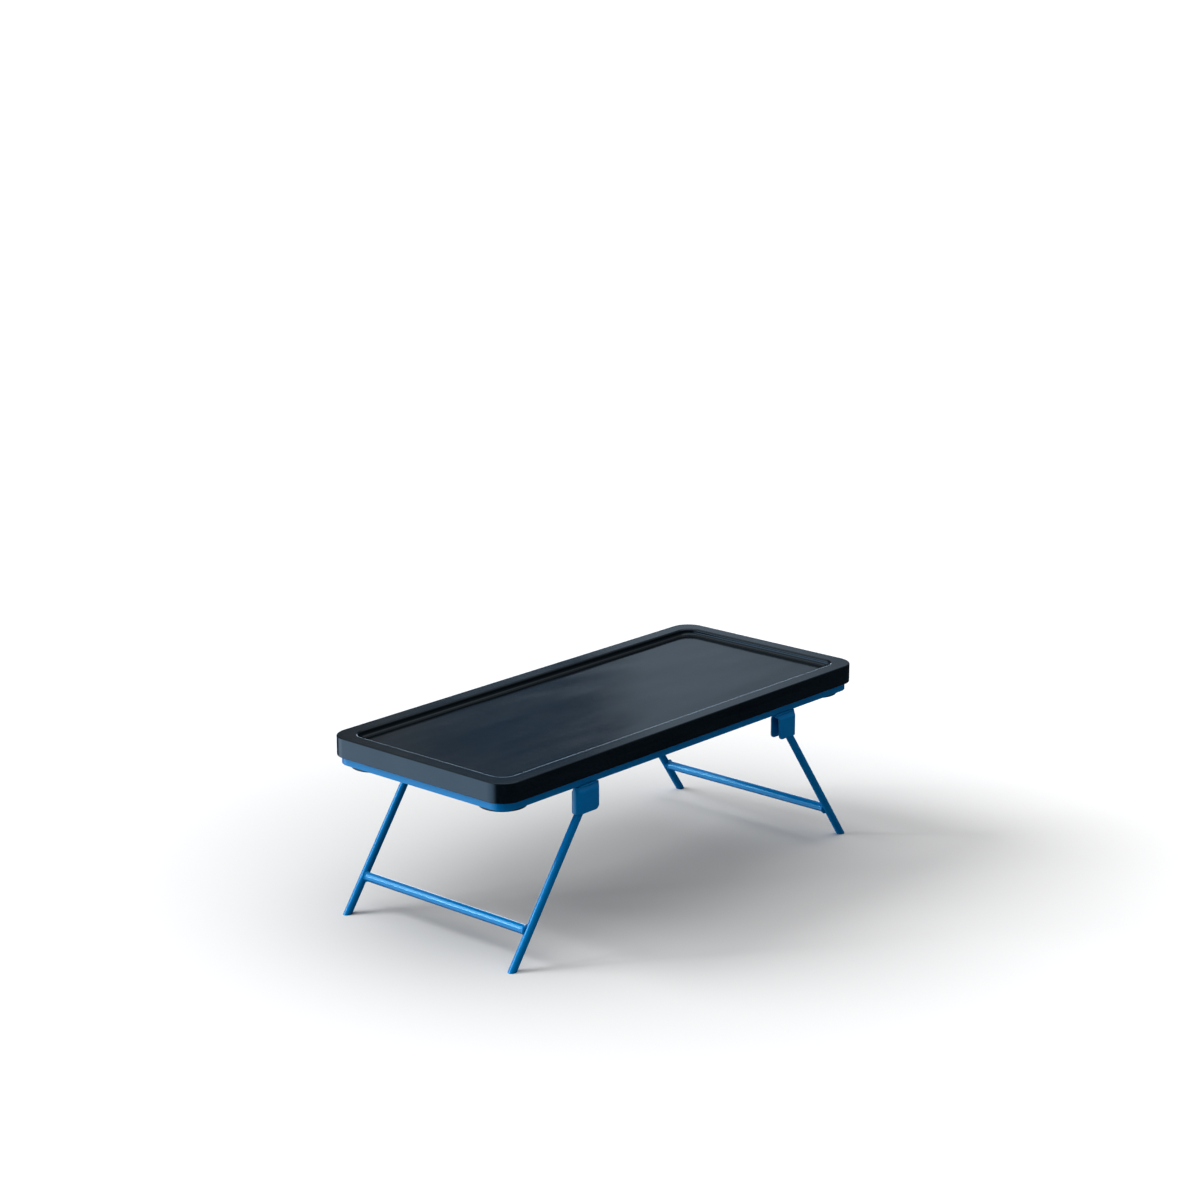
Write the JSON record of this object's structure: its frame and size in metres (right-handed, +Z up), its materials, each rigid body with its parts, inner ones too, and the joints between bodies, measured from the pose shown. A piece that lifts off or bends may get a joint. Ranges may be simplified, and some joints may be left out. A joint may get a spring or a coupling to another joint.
{
  "type": "folding leg serving stand",
  "caption": "Low serving stand: a dark wooden board with a shallow recess, lying on a flat-bar steel ring carried by folding rod leg frames that open to a fixed splay.",
  "frame": {"origin": "on the floor under the middle of the stand", "axes": "+X along the board's length, +Y across it towards the back, +Z up"},
  "size_m": [0.46, 0.2, 0.16],
  "materials": {
    "board": "dark stained, satin lacquer",
    "frame_ring": "gloss powder coat",
    "pad_front_left": "moulded black rubber",
    "pad_screw_front_left": "zinc plated",
    "bracket_front_left": "gloss powder coat",
    "hinge_pin_front_left": "gloss powder coat",
    "leg_rod_front_left": "gloss powder coat",
    "pad_front_right": "moulded black rubber",
    "pad_screw_front_right": "zinc plated",
    "bracket_front_right": "gloss powder coat",
    "hinge_pin_front_right": "gloss powder coat",
    "leg_rod_front_right": "gloss powder coat",
    "pad_back_left": "moulded black rubber",
    "pad_screw_back_left": "zinc plated",
    "bracket_back_left": "gloss powder coat",
    "hinge_pin_back_left": "gloss powder coat",
    "leg_rod_back_left": "gloss powder coat",
    "pad_back_right": "moulded black rubber",
    "pad_screw_back_right": "zinc plated",
    "bracket_back_right": "gloss powder coat",
    "hinge_pin_back_right": "gloss powder coat",
    "leg_rod_back_right": "gloss powder coat",
    "crossbar_left": "gloss powder coat",
    "crossbar_right": "gloss powder coat"
  },
  "bodies": {
    "frame": {"frame_ring": "frame_ring", "bracket_front_left": "bracket_front_left", "bracket_front_right": "bracket_front_right", "bracket_back_left": "bracket_back_left", "bracket_back_right": "bracket_back_right", "hinge_pin_front_left": "hinge_pin_front_left", "hinge_pin_front_right": "hinge_pin_front_right", "hinge_pin_back_left": "hinge_pin_back_left", "hinge_pin_back_right": "hinge_pin_back_right"},
    "tray": {"board": "board", "pad_front_left": "pad_front_left", "pad_front_right": "pad_front_right", "pad_back_left": "pad_back_left", "pad_back_right": "pad_back_right", "pad_screw_front_left": "pad_screw_front_left", "pad_screw_front_right": "pad_screw_front_right", "pad_screw_back_left": "pad_screw_back_left", "pad_screw_back_right": "pad_screw_back_right"},
    "left_leg": {"leg_rod_front_left": "leg_rod_front_left", "leg_rod_back_left": "leg_rod_back_left", "crossbar_left": "crossbar_left"},
    "right_leg": {"leg_rod_front_right": "leg_rod_front_right", "leg_rod_back_right": "leg_rod_back_right", "crossbar_right": "crossbar_right"}
  },
  "joints": [
    {"name": "left_leg_fold", "type": "hinge", "parent": "frame", "child": "left_leg", "pos_m": [-0.1287, 0, 0.125], "axis": [0, -1, 0], "range_deg": [0, 126.5]},
    {"name": "right_leg_fold", "type": "hinge", "parent": "frame", "child": "right_leg", "pos_m": [0.1287, 0, 0.125], "axis": [0, 1, 0], "range_deg": [0, 122]},
    {"name": "tray_lift", "type": "slide", "parent": "frame", "child": "tray", "axis": [0, 0, 1], "range_m": [0, 0.05]}
  ]
}
